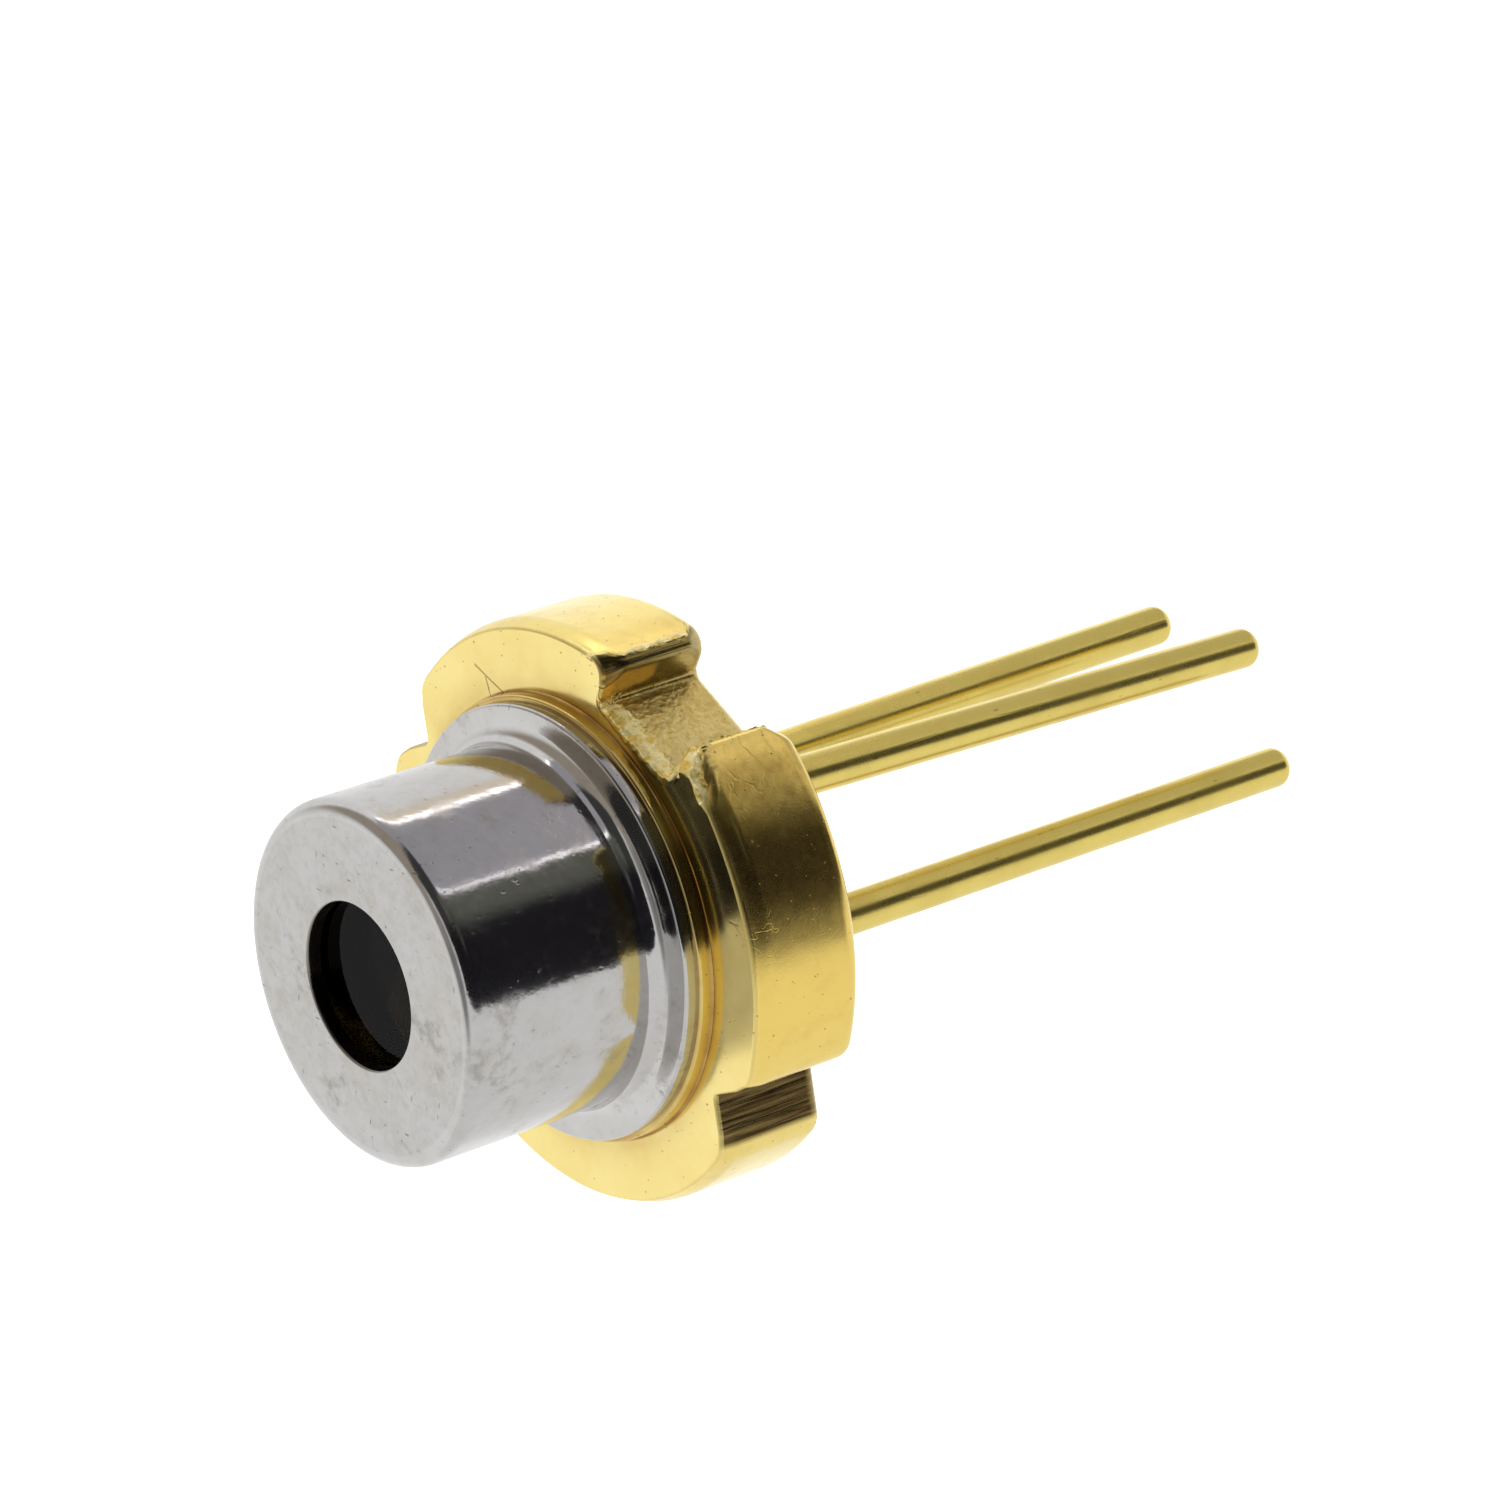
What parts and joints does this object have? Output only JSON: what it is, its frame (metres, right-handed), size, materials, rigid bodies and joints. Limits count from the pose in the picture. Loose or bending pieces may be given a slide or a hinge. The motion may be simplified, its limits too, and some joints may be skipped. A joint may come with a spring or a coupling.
{
  "type": "laser diode",
  "caption": "Round metal-can laser diode: a notched gold-plated stem, a nickel cap with a round window, and straight wire leads behind.",
  "frame": {"origin": "centre of the stem's front face, on the optical axis", "axes": "+Z along the optical axis, out of the window; -Y through the wide notch and the common lead; +X through the photodiode lead"},
  "size_m": [0.0054, 0.0055, 0.0106],
  "materials": {
    "stem_gold": "gold-plated steel, bright, with fine forging and tumbling marks",
    "cap_nickel": "nickel-plated, mirror-bright barrel, satin front",
    "window_glass": "clear, coated against reflections",
    "sealing_glass": "dark opaque sealing glass",
    "lead_gold": "gold-plated wire, bright",
    "lead_seal_glass": "grey-green sealing glass, glossy",
    "braze": "braze under gold plating, smooth",
    "heat_sink_gold": "gold-plated copper, satin",
    "solder": "gold-tin solder, satin",
    "submount_ceramic": "fine ground ceramic",
    "semiconductor": "polished crystal with a thin gold contact",
    "silicon": "polished, dark blue-grey",
    "wire_gold": "bright drawn gold"
  },
  "bodies": {
    "root": {"stem": "stem_gold", "cap": "cap_nickel", "window_glass": "window_glass", "window_seal": "sealing_glass", "laser_lead": "lead_gold", "photodiode_lead": "lead_gold", "common_lead": "lead_gold", "laser_lead_seal": "lead_seal_glass", "photodiode_lead_seal": "lead_seal_glass", "common_lead_braze": "braze", "heat_sink": "heat_sink_gold", "heat_sink_braze": "braze", "submount_solder": "solder", "submount": "submount_ceramic", "laser_chip_solder": "solder", "laser_chip": "semiconductor", "photodiode_solder": "solder", "photodiode": "silicon", "laser_wire": "wire_gold", "submount_wire": "wire_gold", "photodiode_wire": "wire_gold"}
  },
  "joints": []
}
